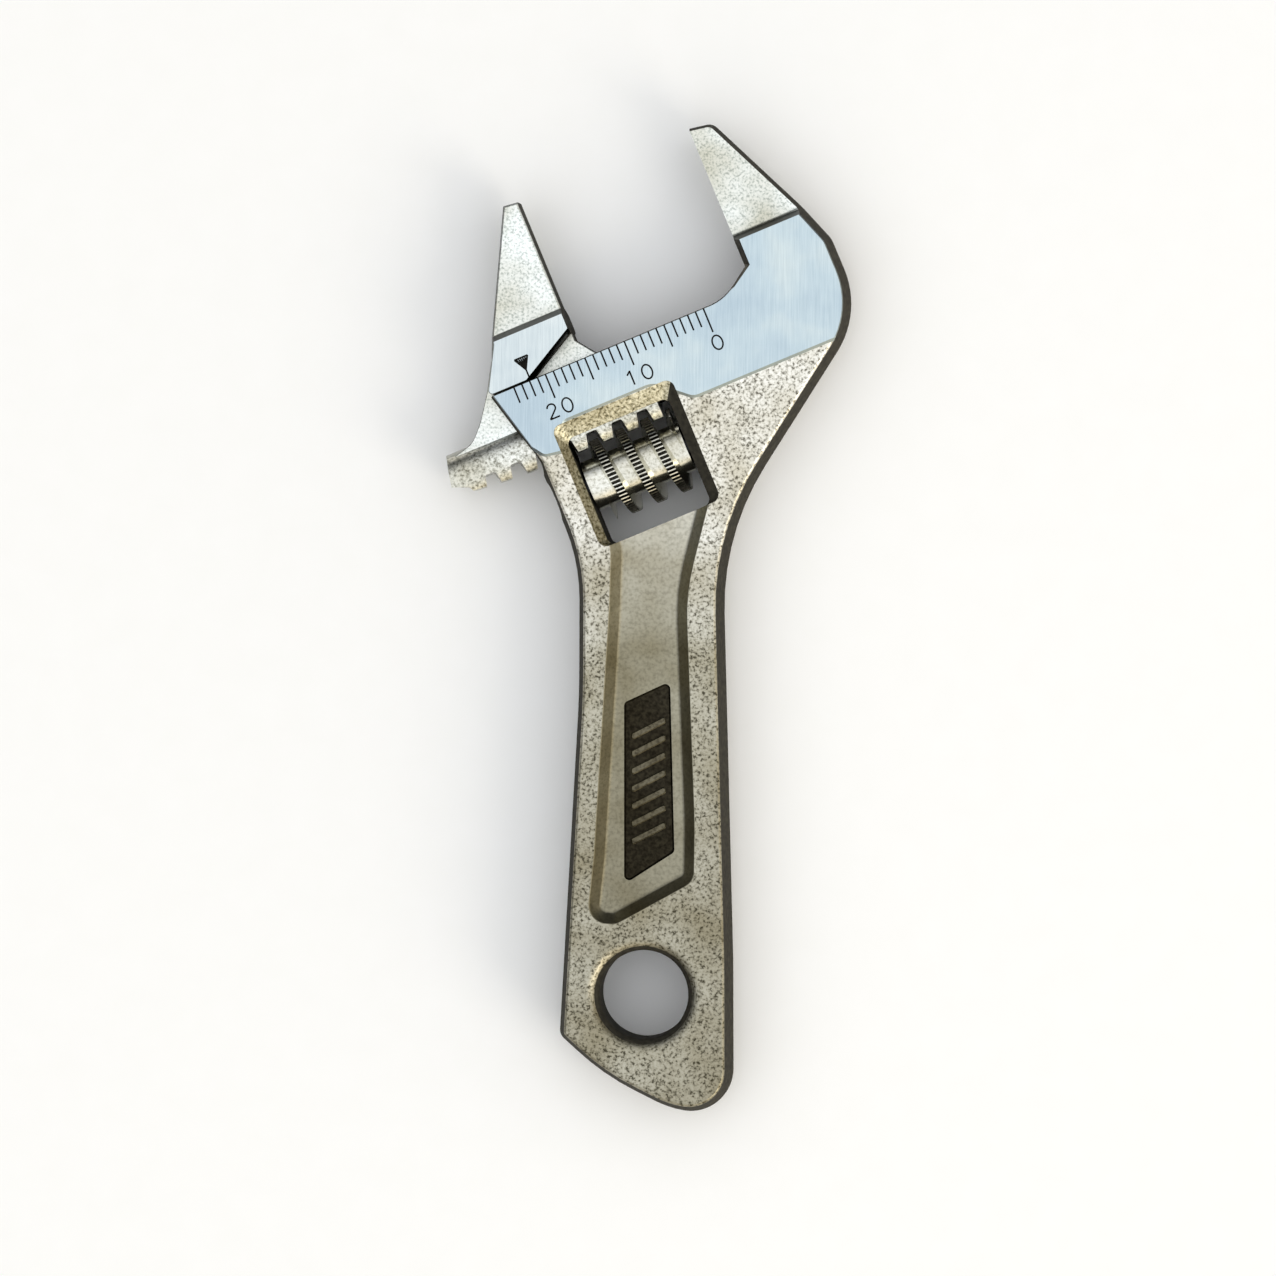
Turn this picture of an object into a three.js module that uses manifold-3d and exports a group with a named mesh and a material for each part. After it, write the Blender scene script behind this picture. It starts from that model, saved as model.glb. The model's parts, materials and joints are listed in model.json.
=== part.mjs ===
// Adjustable wrench: a forged body with the fixed jaw, a sliding jaw with a rack, and the worm that
// drives it on its screw pin and spring. Millimetres. The wrench lies on its back: X across it, Y from
// the handle's end to the jaws, Z up through its thickness, the origin under the middle of its box.
//
// All pieces are drawn in the head's own frame and turned into place at the end. There u runs along the
// slide, from the sliding jaw to the fixed one, v runs up to the jaw tips and z is the thickness. Zero is
// where the fixed jaw's face would meet the line of the cheeks' top edges, half way through the thickness.
import * as THREE from "three";
import { mergeVertices } from "three/addons/utils/BufferGeometryUtils.js";
import Module from "manifold-3d";

const wasm = await Module();
wasm.setup();

// ---- driving dimensions -----------------------------------------------------

// overall
const HEAD_TILT = 22.5; // degrees that the slide is turned from square with the handle
const HANDLE_LENGTH = 82.7; // head zero down to the hanging hole, along the handle
const HANDLE_OFFSET = 12.9; // head zero across to the hanging hole
const HEAD_THICK = 10; // over the ground plates
const FORGED_STEP = 0.25; // how far the forged skin lies below the plates, each side
const FORGED_DRAFT = 0.55; // how far a forged edge leans in from the parting line to a face
const PARTING_LAND = 0.6; // straight band on the parting line

// jaws
const JAW_REACH = 20.2; // cheeks' top edge to the jaw tips
const JAW_OPENING = 21.8; // between the jaw faces as the wrench is drawn
const NOSE_THICK = 5.5;
const NOSE_STEP_V = 6.5; // where the thin noses end
const NOSE_STEP_SLOPE = 0.75;
const PLATE_BOTTOM_V = -9.4; // lower edge of the ground plates

// slide
const WEB_THICK = 3.8;
const SLOT_GAP = 0.15; // each side of the web
const SLIDER_RADIUS = 3.2;
const BORE_GAP = 0.15; // round the slider
const SLIDER_V = -7.4; // slider's axis
const SLIDER_LENGTH = 26.1;
const SLIDER_LEAD = 6.2; // how far the slider's inner end runs ahead of the jaw's face
const BORE_END_GAP = 0.6; // left beyond the slider when the jaws are shut
const SEAT_GAP = 0.1; // under the jaw's shoulder
const TAIL_TAPER = 0.5; // how far the slider's last teeth are ground back

// worm and rack
const WORM_V = -14; // worm's axis
const WORM_PITCH = 3.2;
const WORM_RADIUS = 4.9;
const WORM_ROOT_RADIUS = 3;
const WORM_LENGTH = 12.3;
const WORM_END_GAP = 0.3; // between the worm and each side of its window
const THREAD_CREST = 1;
const THREAD_FLANK = 12; // degrees
const MESH_GAP = 0.33; // between thread and rack, each side
const RACK_DEPTH = 1.6;
const RACK_TIP_DEPTH = 0.7; // how far the rack's tips reach below the worm's crest
const FIRST_GAP = 2.4; // slider's inner end to the middle of the first rack gap

// window
const WINDOW_RIGHT = -14.2;
const WINDOW_TOP = -8;
const WINDOW_BOTTOM = -21.4;
const WINDOW_CORNER = 0.9;

// pin and spring
const PIN_RADIUS = 1.45;
const PIN_FIT = 0.1;
const PIN_HEAD_STEP = 0.75; // how much wider the head's radius is than the shaft's
const PIN_HEAD_LENGTH = 3;
const PIN_HEAD_SUNK = 0.3;
const PIN_SLOT = 0.8;
const PIN_TIP_DEPTH = 3.6; // past the window
const WORM_BORE_GAP = 0.1;
const SPRING_WIRE = 0.5;
const SPRING_GAP = 0.15; // between the spring and the pin, and round it in its pocket
const SPRING_TURNS = 4.5;
const SPRING_POCKET_DEPTH = 4.8;

// handle
const HOLE_RADIUS = 5.2;
const HOLE_RIM = 1.8;
const RECESS_DEPTH = 1.5;
const RECESS_WALL = 1.3; // width of its sloping wall
const PLAQUE_DEPTH = 0.25;

// ---- values that follow -----------------------------------------------------

const tilt = THREE.MathUtils.degToRad(HEAD_TILT);
const halfHead = HEAD_THICK / 2;
const halfForged = halfHead - FORGED_STEP;
const sliderEnd = SLIDER_LEAD - JAW_OPENING;
const sliderTail = sliderEnd - SLIDER_LENGTH;
const boreEnd = SLIDER_LEAD + BORE_END_GAP;
const boreRadius = SLIDER_RADIUS + BORE_GAP;
const rackTipV = WORM_V + WORM_RADIUS - RACK_TIP_DEPTH;
const windowLeft = WINDOW_RIGHT - WORM_LENGTH - 2 * WORM_END_GAP;
const wormLeft = windowLeft + WORM_END_GAP;
const wormRight = WINDOW_RIGHT - WORM_END_GAP;
const neckLeft = windowLeft - 4.25;
const pinHeadRadius = PIN_RADIUS + PIN_HEAD_STEP;
const springRadius = PIN_RADIUS + SPRING_GAP + SPRING_WIRE / 2;
const pocketRadius = springRadius + SPRING_WIRE / 2 + SPRING_GAP;
const OUT = 60; // a length that clears the whole head

// ---- outlines ---------------------------------------------------------------

// A corner is [u, v, radius]. Handle corners are given along the handle, from the head zero or the hole.
const head = (u, v, r = 0) => [u, v, r];
const alongHandle = (x, y, r) => [
  x * Math.cos(tilt) + y * Math.sin(tilt),
  y * Math.cos(tilt) - x * Math.sin(tilt),
  r,
];
const neck = (x, y, r = 0) => alongHandle(x - HANDLE_OFFSET, y, r);
const foot = (x, y, r = 0) => alongHandle(x - HANDLE_OFFSET, y - HANDLE_LENGTH, r);

// Points round a polygon whose corners are turned to their radius.
function rounded(corners, step = 12) {
  const points = [];
  corners.forEach(([u, v, radius], i) => {
    const here = new THREE.Vector2(u, v);
    if (!radius) {
      points.push(here);
      return;
    }
    const before = new THREE.Vector2(...corners.at(i - 1).slice(0, 2)).sub(here).normalize();
    const after = new THREE.Vector2(...corners[(i + 1) % corners.length].slice(0, 2)).sub(here).normalize();
    const half = Math.acos(THREE.MathUtils.clamp(before.dot(after), -1, 1)) / 2;
    const centre = before.clone().add(after).normalize().multiplyScalar(radius / Math.sin(half)).add(here);
    const from = before.clone().multiplyScalar(radius / Math.tan(half)).add(here).sub(centre).angle();
    const to = after.clone().multiplyScalar(radius / Math.tan(half)).add(here).sub(centre).angle();
    const turn = THREE.MathUtils.euclideanModulo(to - from + Math.PI, 2 * Math.PI) - Math.PI;
    const pieces = Math.max(2, Math.ceil(Math.abs(THREE.MathUtils.radToDeg(turn)) / step));
    for (let k = 0; k <= pieces; k++) {
      const angle = from + (turn * k) / pieces;
      points.push(new THREE.Vector2(Math.cos(angle), Math.sin(angle)).multiplyScalar(radius).add(centre));
    }
  });
  return points;
}

// ---- solids -----------------------------------------------------------------

function solid(geometry) {
  const bare = geometry.index ? geometry.toNonIndexed() : geometry.clone();
  bare.deleteAttribute("normal");
  bare.deleteAttribute("uv");
  const merged = mergeVertices(bare, 1e-4);
  return new wasm.Manifold(
    new wasm.Mesh({
      numProp: 3,
      vertProperties: merged.attributes.position.array,
      triVerts: new Uint32Array(merged.index.array),
    }),
  );
}

// An outline through the thickness, from z = low to z = high.
function slab(corners, low, high) {
  const shape = new THREE.Shape(rounded(corners));
  const geometry = new THREE.ExtrudeGeometry(shape, { depth: high - low, bevelEnabled: false });
  return solid(geometry.translate(0, 0, low));
}

// An outline centred on the thickness. Its edges lean in by `lean` over the height `rise` at each face.
function draftedSlab(corners, half, rise, lean, step) {
  const shape = new THREE.Shape(rounded(corners, step));
  const land = 2 * (half - rise);
  const geometry = new THREE.ExtrudeGeometry(shape, {
    depth: land,
    bevelThickness: rise,
    bevelSize: lean,
    bevelOffset: -lean,
    bevelSegments: 1,
  });
  return solid(geometry.translate(0, 0, -land / 2));
}

// The same cut or pad on both faces.
function bothFaces(piece) {
  return piece.add(piece.mirror([0, 0, 1]));
}

// A turned shape about the slide's direction: profile points are [u, radius].
function turned(profile, v, sides = 32) {
  const points = profile.map(([u, radius]) => new THREE.Vector2(radius, u));
  const geometry = new THREE.LatheGeometry(points, sides);
  return solid(geometry.rotateZ(-Math.PI / 2).translate(0, v, 0));
}

function rod(from, to, radius, v, sides) {
  return turned([[from, 0], [from, radius], [to, radius], [to, 0]], v, sides);
}

// A closed section of [radius, u] points carried along a right-hand helix about the line v = 0, z = 0.
function helix(section, lead, firstTurn, lastTurn, stepsPerTurn) {
  const stations = Math.round((lastTurn - firstTurn) * stepsPerTurn);
  const n = section.length;
  const positions = [];
  for (let i = 0; i <= stations; i++) {
    const turns = firstTurn + ((lastTurn - firstTurn) * i) / stations;
    const angle = 2 * Math.PI * turns;
    for (const [radius, u] of section)
      positions.push(u + lead * turns, radius * Math.cos(angle), radius * Math.sin(angle));
  }
  const faces = [];
  for (let i = 0; i < stations; i++)
    for (let j = 0; j < n; j++) {
      const a = i * n + j;
      const b = i * n + ((j + 1) % n);
      faces.push(a, b, a + n, b, b + n, a + n);
    }
  const last = stations * n;
  for (let j = 1; j + 1 < n; j++) {
    faces.push(0, j + 1, j);
    faces.push(last, last + j, last + j + 1);
  }
  const geometry = new THREE.BufferGeometry();
  geometry.setAttribute("position", new THREE.Float32BufferAttribute(positions, 3));
  geometry.setIndex(faces);
  return solid(geometry);
}

// ---- body -------------------------------------------------------------------

// The forging's outline on its parting line, with stock left where jaw face and cheek tops are machined.
function forging() {
  const stock = 1;
  const corners = [
    head(-34.05, stock),
    head(neckLeft, PLATE_BOTTOM_V, 1),
    neck(-7.75, -32.1, 22),
    neck(-7.8, -47.7, 120),
    foot(-10.1, -4.9, 1.2),
    foot(-5, -9.6, 30),
    foot(2.6, -13.4, 12),
    foot(10.35, -14.9, 5),
    foot(10.3, 4, 150),
    neck(9.04, -28.7, 31),
    head(10.5, -7.4, 10.5),
    head(10.45, 1.9, 3),
    head(8.7, 6.7, 30),
    head(2.75, JAW_REACH - 0.45, 0.9),
    head(-stock, JAW_REACH + 0.2),
    head(-stock, stock),
  ];
  return draftedSlab(corners, halfHead, halfHead - PARTING_LAND / 2, FORGED_DRAFT, 8);
}

// The gap between the jaws: jaw face, throat and the cheeks' top edges.
function jawGap() {
  const corners = [head(0, 2.6), head(0, OUT), head(-OUT, OUT), head(-OUT, 0), head(-3.7, 0, 6)];
  return slab(corners, -OUT, OUT);
}

// What thins the fixed nose, above its step.
function noseThinning() {
  const halfNose = NOSE_THICK / 2;
  const profile = [
    head(NOSE_STEP_V - NOSE_STEP_SLOPE, halfHead + 1),
    head(NOSE_STEP_V - NOSE_STEP_SLOPE, halfHead),
    head(NOSE_STEP_V, halfNose),
    head(OUT, halfNose),
    head(OUT, halfHead + 1),
  ];
  const shape = new THREE.Shape(rounded(profile));
  const geometry = new THREE.ExtrudeGeometry(shape, { depth: 2 * OUT, bevelEnabled: false });
  // the profile is drawn as (v, z) and runs along u
  geometry.applyMatrix4(new THREE.Matrix4().makeBasis(
    new THREE.Vector3(0, 1, 0),
    new THREE.Vector3(0, 0, 1),
    new THREE.Vector3(1, 0, 0),
  ));
  return bothFaces(solid(geometry.translate(-OUT, 0, 0)));
}

// The step from the ground plates down to the forged skin, which also runs up over the window.
function forgedSkin() {
  const corners = [
    head(-OUT, PLATE_BOTTOM_V),
    head(windowLeft - 0.4, PLATE_BOTTOM_V),
    head(windowLeft + 0.6, WINDOW_TOP + 1.9, 0.8),
    head(-15.2, WINDOW_TOP + 1.9, 2),
    head(-11, PLATE_BOTTOM_V, 2),
    head(OUT, PLATE_BOTTOM_V),
    head(OUT, -2 * OUT),
    head(-OUT, -2 * OUT),
  ];
  return bothFaces(slab(corners, halfForged, halfHead + 1));
}

// Slide way: the slot for the web and the round bore for the slider, both open to the left.
function slideWay() {
  const halfSlot = WEB_THICK / 2 + SLOT_GAP;
  const slotEnd = 2.4;
  const corners = [
    head(-OUT, SLIDER_V),
    head(slotEnd, SLIDER_V),
    head(slotEnd, 0.6, 0.5),
    head(0, 2.75),
    head(-OUT, 2.75),
  ];
  return slab(corners, -halfSlot, halfSlot).add(rod(-OUT, boreEnd, boreRadius, SLIDER_V, 40));
}

// The window through the head that the worm turns in.
function wormWindow() {
  const corners = [
    head(windowLeft, WINDOW_BOTTOM, WINDOW_CORNER),
    head(WINDOW_RIGHT, WINDOW_BOTTOM, WINDOW_CORNER),
    head(WINDOW_RIGHT, WINDOW_TOP, WINDOW_CORNER),
    head(windowLeft, WINDOW_TOP, WINDOW_CORNER),
  ];
  return slab(corners, -OUT, OUT);
}

// Screw hole for the pin's head, clear hole for its shaft, and the blind hole that takes its tip.
function pinHole() {
  const shoulder = neckLeft + PIN_HEAD_SUNK + PIN_HEAD_LENGTH + PIN_FIT;
  const profile = [
    [-OUT, 0],
    [-OUT, pinHeadRadius + PIN_FIT],
    [shoulder, pinHeadRadius + PIN_FIT],
    [shoulder, PIN_RADIUS + PIN_FIT],
    [WINDOW_RIGHT + PIN_TIP_DEPTH + 2 * PIN_FIT, PIN_RADIUS + PIN_FIT],
    [WINDOW_RIGHT + PIN_TIP_DEPTH + 2 * PIN_FIT, 0],
  ];
  return turned(profile, WORM_V, 24);
}

// The long recess of the handle, which opens into the window, and the plaque sunk in its floor.
function handleRecess() {
  const mouth = [
    head(windowLeft + 0.4, WINDOW_BOTTOM + 2),
    head(windowLeft + 0.4, WINDOW_BOTTOM, 8),
    neck(-3.7, -37.5, 30),
    foot(-5.5, 16, 40),
    foot(-6.35, 8.7, 1.9),
    foot(-3.2, 8.6, 1.5),
    foot(5.7, 13.5, 1.6),
    foot(5.8, 20, 60),
    neck(4.8, -35.7, 25),
    head(WINDOW_RIGHT - 0.6, WINDOW_BOTTOM),
    head(WINDOW_RIGHT - 0.6, WINDOW_BOTTOM + 2),
  ];
  const cut = draftedSlab(mouth, 2 * RECESS_DEPTH, RECESS_DEPTH, RECESS_WALL, 15);
  const floor = halfForged - RECESS_DEPTH;
  const plaque = [
    neck(-2.3, -48.5, 0.6),
    foot(-2.3, 12.9, 0.6),
    foot(3.6, 16.7, 0.6),
    neck(3.1, -46, 0.6),
  ];
  const sunk = slab(plaque, floor - PLAQUE_DEPTH, halfHead);
  return bothFaces(cut.translate([0, 0, floor + 2 * RECESS_DEPTH]).add(sunk));
}

// The hanging hole with its rounded rim on both faces.
function hangingHole() {
  const [u, v] = foot(0, 0);
  const profile = [new THREE.Vector2(0, halfHead + 1), new THREE.Vector2(0, -halfHead - 1)];
  const arc = (face) => {
    const steps = 4;
    for (let k = 0; k <= steps; k++) {
      const angle = (face < 0 ? k : steps - k) * (Math.PI / 2 / steps);
      const radius = HOLE_RADIUS + HOLE_RIM * (1 - Math.sin(angle));
      const height = face * (halfForged - HOLE_RIM * (1 - Math.cos(angle)));
      profile.push(new THREE.Vector2(radius, height));
    }
  };
  profile.push(new THREE.Vector2(HOLE_RADIUS + HOLE_RIM, -halfHead - 1));
  arc(-1);
  arc(1);
  profile.push(new THREE.Vector2(HOLE_RADIUS + HOLE_RIM, halfHead + 1), profile[0].clone());
  const geometry = new THREE.LatheGeometry(profile, 40);
  return solid(geometry.rotateX(Math.PI / 2).translate(u, v, 0));
}

function body() {
  return forging()
    .subtract(jawGap())
    .subtract(noseThinning())
    .subtract(forgedSkin())
    .subtract(slideWay())
    .subtract(wormWindow())
    .subtract(pinHole())
    .subtract(handleRecess())
    .subtract(hangingHole());
}

// ---- movable jaw ------------------------------------------------------------

// Half the thread's width at a height v above the head zero, where it stands straight up from the worm.
function threadHalfWidth(v) {
  const below = WORM_V + WORM_RADIUS - v;
  return THREAD_CREST / 2 + below * Math.tan(THREE.MathUtils.degToRad(THREAD_FLANK));
}

// The gaps of the rack, cut across the slider on the thread's slant.
function rackGaps() {
  const rootV = rackTipV + RACK_DEPTH;
  const lowV = SLIDER_V - SLIDER_RADIUS - 1;
  const wide = threadHalfWidth(lowV) + MESH_GAP;
  const narrow = threadHalfWidth(rootV) + MESH_GAP;
  const slant = WORM_PITCH / (2 * Math.PI * WORM_RADIUS);
  const lean = new THREE.Matrix4().set(1, 0, slant, 0, 0, 1, 0, 0, 0, 0, 1, 0, 0, 0, 0, 1);
  const count = Math.floor((SLIDER_LENGTH - 2 * FIRST_GAP) / WORM_PITCH) + 1;
  const gaps = [];
  // the one before the first only trims the slider's inner end clear of the thread
  for (let k = -1; k < count; k++) {
    const u = sliderEnd - FIRST_GAP - k * WORM_PITCH;
    const corners = [head(-wide, lowV), head(wide, lowV), head(narrow, rootV), head(-narrow, rootV)];
    const shape = new THREE.Shape(rounded(corners));
    const geometry = new THREE.ExtrudeGeometry(shape, { depth: 4 * SLIDER_RADIUS, bevelEnabled: false });
    geometry.translate(0, 0, -2 * SLIDER_RADIUS).applyMatrix4(lean).translate(u, 0, 0);
    gaps.push(solid(geometry));
  }
  return gaps.reduce((all, gap) => all.add(gap));
}

function movableJaw() {
  const face = -JAW_OPENING;
  const halfNose = NOSE_THICK / 2;
  const nose = [
    head(face, 3.3),
    head(face, JAW_REACH - 0.3, 0.35),
    head(face - 1.75, JAW_REACH - 0.1, 0.7),
    head(face - 8.8, NOSE_STEP_V, 20),
    head(face - 10.2, 3.3),
  ];
  const shoulder = [
    head(face, 3.4),
    head(face, NOSE_STEP_V),
    head(face - 8.8, NOSE_STEP_V),
    head(face - 8.65, NOSE_STEP_V - NOSE_STEP_SLOPE, 1.6),
    head(face - 11.8, SEAT_GAP, 0.5),
    head(face - 6, SEAT_GAP, 0.6),
  ];
  const web = [
    head(face, 4),
    head(face, 2.4),
    head(face + 1.8, 0),
    head(face + 1.8, SLIDER_V),
    head(sliderTail + 1.5, SLIDER_V),
    head(sliderTail + 0.6, -5),
    head(face - 15.8, -4.1, 3),
    head(face - 14, -2.2, 4),
    head(face - 12, 0.6, 1),
    head(face - 10, 4),
  ];
  const halfWeb = WEB_THICK / 2;
  const slider = rod(sliderTail, sliderEnd, SLIDER_RADIUS, SLIDER_V, 40);
  // the slanted, chamfered end of the slider and the taper under its last teeth
  const tail = slab(
    [
      head(sliderTail - 1, SLIDER_V + 5),
      head(sliderTail - 1, -OUT),
      head(sliderTail + 8, -OUT),
      head(sliderTail + 8, rackTipV),
      head(sliderTail + 2.2, rackTipV + TAIL_TAPER),
      head(sliderTail + 1.9, WORM_V + WORM_RADIUS + MESH_GAP),
      head(sliderTail, rackTipV + TAIL_TAPER + 1.3),
      head(sliderTail + 0.6, SLIDER_V + 2.6),
      head(sliderTail + 0.6, SLIDER_V + 5),
    ],
    -SLIDER_RADIUS - 1,
    SLIDER_RADIUS + 1,
  );
  const flat = slab(
    [head(-OUT, rackTipV), head(-OUT, -OUT), head(OUT, -OUT), head(OUT, rackTipV)],
    -SLIDER_RADIUS - 1,
    SLIDER_RADIUS + 1,
  );
  return slab(nose, -halfNose, halfNose)
    .add(slab(shoulder, -halfHead, halfHead).subtract(noseThinning()))
    .add(slab(web, -halfWeb, halfWeb))
    .add(slider.subtract(flat).subtract(tail).subtract(rackGaps()));
}

// ---- worm, pin and spring ---------------------------------------------------

function adjustingWorm() {
  const flank = Math.tan(THREE.MathUtils.degToRad(THREAD_FLANK));
  const innerRadius = WORM_ROOT_RADIUS - 0.3;
  const innerHalf = THREAD_CREST / 2 + (WORM_RADIUS - innerRadius) * flank;
  const section = [
    [innerRadius, -innerHalf],
    [innerRadius, innerHalf],
    [WORM_RADIUS, THREAD_CREST / 2],
    [WORM_RADIUS, -THREAD_CREST / 2],
  ];
  // the crest stands straight up in a rack gap
  const crest = sliderEnd - FIRST_GAP;
  const firstTurn = Math.floor((wormLeft - crest) / WORM_PITCH) - 1;
  const lastTurn = Math.ceil((wormRight - crest) / WORM_PITCH) + 1;
  const thread = helix(section, WORM_PITCH, firstTurn, lastTurn, 36)
    .translate([crest, WORM_V, 0])
    .intersect(rod(wormLeft, wormRight, WORM_RADIUS + 1, WORM_V, 24));
  const pocketFloor = wormRight - SPRING_POCKET_DEPTH;
  const bore = turned(
    [
      [wormLeft - 1, 0],
      [wormLeft - 1, PIN_RADIUS + WORM_BORE_GAP],
      [pocketFloor, PIN_RADIUS + WORM_BORE_GAP],
      [pocketFloor, pocketRadius],
      [wormRight + 1, pocketRadius],
      [wormRight + 1, 0],
    ],
    WORM_V,
    24,
  );
  return rod(wormLeft, wormRight, WORM_ROOT_RADIUS, WORM_V, 36).add(thread).subtract(bore);
}

function wormPin() {
  const left = neckLeft + PIN_HEAD_SUNK;
  const tip = WINDOW_RIGHT + PIN_TIP_DEPTH;
  const profile = [
    [left, 0],
    [left, pinHeadRadius],
    [left + PIN_HEAD_LENGTH, pinHeadRadius],
    [left + PIN_HEAD_LENGTH, PIN_RADIUS],
    [tip - 0.4, PIN_RADIUS],
    [tip, PIN_RADIUS - 0.4],
    [tip, 0],
  ];
  const slot = new THREE.BoxGeometry(2, PIN_SLOT, 4 * pinHeadRadius).translate(left, WORM_V, 0);
  return turned(profile, WORM_V, 24).subtract(solid(slot));
}

function wormSpring() {
  const left = wormRight - SPRING_POCKET_DEPTH + SPRING_WIRE / 2 + PIN_FIT;
  const right = WINDOW_RIGHT - SPRING_WIRE / 2 - PIN_FIT;
  const sides = 6;
  const section = [];
  for (let k = 0; k < sides; k++) {
    const angle = (-2 * Math.PI * k) / sides;
    section.push([
      springRadius + (SPRING_WIRE / 2) * Math.cos(angle),
      (SPRING_WIRE / 2) * Math.sin(angle),
    ]);
  }
  const lead = (right - left) / SPRING_TURNS;
  return helix(section, lead, 0, SPRING_TURNS, 20).translate([left, WORM_V, 0]);
}

// ---- the wrench -------------------------------------------------------------

const satinSteel = new THREE.MeshStandardMaterial({ color: 0xb9b2a6, metalness: 1, roughness: 0.45 });
const groundSteel = new THREE.MeshStandardMaterial({ color: 0xc4c8cc, metalness: 1, roughness: 0.25 });
const turnedSteel = new THREE.MeshStandardMaterial({ color: 0xc9ccd0, metalness: 1, roughness: 0.3 });
const blackSteel = new THREE.MeshStandardMaterial({ color: 0x4a4c50, metalness: 1, roughness: 0.4 });

function mesh(name, piece, material) {
  const made = piece.getMesh();
  const geometry = new THREE.BufferGeometry();
  geometry.setAttribute("position", new THREE.BufferAttribute(made.vertProperties, 3));
  geometry.setIndex(new THREE.BufferAttribute(made.triVerts, 1));
  geometry.computeVertexNormals();
  const result = new THREE.Mesh(geometry, material);
  result.name = name;
  return result;
}

const pieces = new THREE.Group();
pieces.rotation.z = tilt;
pieces.add(
  mesh("body", body(), satinSteel),
  mesh("movable_jaw", movableJaw(), groundSteel),
  mesh("adjusting_worm", adjustingWorm(), turnedSteel),
  mesh("worm_pin", wormPin(), blackSteel),
  mesh("worm_spring", wormSpring(), blackSteel),
);

const wrench = new THREE.Group();
wrench.name = "adjustable_wrench";
wrench.add(pieces);
wrench.updateMatrixWorld(true);
const box = new THREE.Box3().setFromObject(wrench, true);
const middle = box.getCenter(new THREE.Vector3());
pieces.position.set(-middle.x, -middle.y, -box.min.z);

export default wrench;
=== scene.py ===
import json
import math

import bpy
from mathutils import Matrix, Vector


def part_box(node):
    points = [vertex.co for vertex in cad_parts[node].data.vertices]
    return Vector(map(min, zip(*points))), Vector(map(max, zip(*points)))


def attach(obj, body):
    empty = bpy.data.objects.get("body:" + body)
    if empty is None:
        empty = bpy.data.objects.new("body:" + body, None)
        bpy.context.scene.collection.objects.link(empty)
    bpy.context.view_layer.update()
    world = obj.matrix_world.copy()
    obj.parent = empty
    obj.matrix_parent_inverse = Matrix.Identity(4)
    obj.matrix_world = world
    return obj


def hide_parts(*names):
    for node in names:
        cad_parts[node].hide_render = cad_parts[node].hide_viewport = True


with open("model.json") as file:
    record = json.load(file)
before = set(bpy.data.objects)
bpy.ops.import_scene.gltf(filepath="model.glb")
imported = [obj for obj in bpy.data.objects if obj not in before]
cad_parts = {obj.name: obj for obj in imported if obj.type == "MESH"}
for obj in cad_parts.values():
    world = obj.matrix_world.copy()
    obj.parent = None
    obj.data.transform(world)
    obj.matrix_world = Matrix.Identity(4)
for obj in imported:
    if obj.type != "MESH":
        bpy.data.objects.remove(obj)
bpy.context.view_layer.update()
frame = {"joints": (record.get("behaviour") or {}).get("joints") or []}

# ---- the forging ---------------------------------------------------------------
# Handle, cheeks and fixed jaw are one drop forging in chrome-vanadium steel. The flash is
# trimmed along the parting line, the skin is shot-blasted and nickel plated, and the two
# plates of the head are ground flat afterwards.
#
# It is shaped in millimetres in the head's own frame: u (x) along the slide towards the fixed
# jaw, v (y) up to the jaw tips, z through the thickness, zero where the fixed jaw's face meets
# the line of the cheeks' top edges. finish_piece() takes each piece to the model's frame.
HANDLE_LENGTH = 82.7  # head zero down to the hanging hole, along the handle
HANDLE_OFFSET = 12.9  # head zero across to the hanging hole
HEAD_BACK_ROUND = 10.5  # radius of the head's back
PLATE_STEP = 0.25  # how far the forged skin lies below the ground plates
NOSE_STEP_V = 5.75  # where the noses' step leaves the plates
NOSE_HALF = 2.75  # half the noses' thickness
SLIDER_V = -7.4  # axis of the sliding jaw's round slider
BORE_RADIUS = 3.35
SLOT_HALF = 2.05  # half the slot between the cheeks
WORM_U = -20.7  # middle of the worm
WORM_V = -14.0  # axis of the worm and its pin
WINDOW_LEFT, WINDOW_RIGHT = -27.1, -14.2
WINDOW_BOTTOM, WINDOW_TOP = -21.4, -8.0
WINDOW_CORNER = 0.9
PIN_BORE = 1.55
OUT = 60.0  # clears the whole head
THROUGH = 8.0  # clears both faces

body_low, body_high = (corner * 1000 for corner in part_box("body"))
half_head = (body_high.z - body_low.z) / 2
half_skin = half_head - PLATE_STEP
worm_joint = next(joint for joint in frame["joints"] if joint["name"] == "worm_spin")
slide_way = Vector(worm_joint["axis"]).normalized()
tilt = math.atan2(slide_way.y, slide_way.x)
to_model = (
    Matrix.Translation(Vector(worm_joint["pos_m"]))
    @ Matrix.Rotation(tilt, 4, "Z")
    @ Matrix.Scale(0.001, 4)
    @ Matrix.Translation((-WORM_U, -WORM_V, 0))
)


def only(*objects):
    """Selects these objects and nothing else."""
    if bpy.context.mode != "OBJECT":
        bpy.ops.object.mode_set(mode="OBJECT")
    bpy.ops.object.select_all(action="DESELECT")
    for thing in objects:
        thing.select_set(True)
    bpy.context.view_layer.objects.active = objects[-1]


def neck(x, y, radius=0.0):
    """A corner given along the handle from the head zero, in head coordinates."""
    x -= HANDLE_OFFSET
    across = x * math.cos(tilt) + y * math.sin(tilt)
    up = y * math.cos(tilt) - x * math.sin(tilt)
    return (across, up, radius)


def foot(x, y, radius=0.0):
    """A corner given along the handle from the hanging hole, in head coordinates."""
    return neck(x, y - HANDLE_LENGTH, radius)


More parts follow.
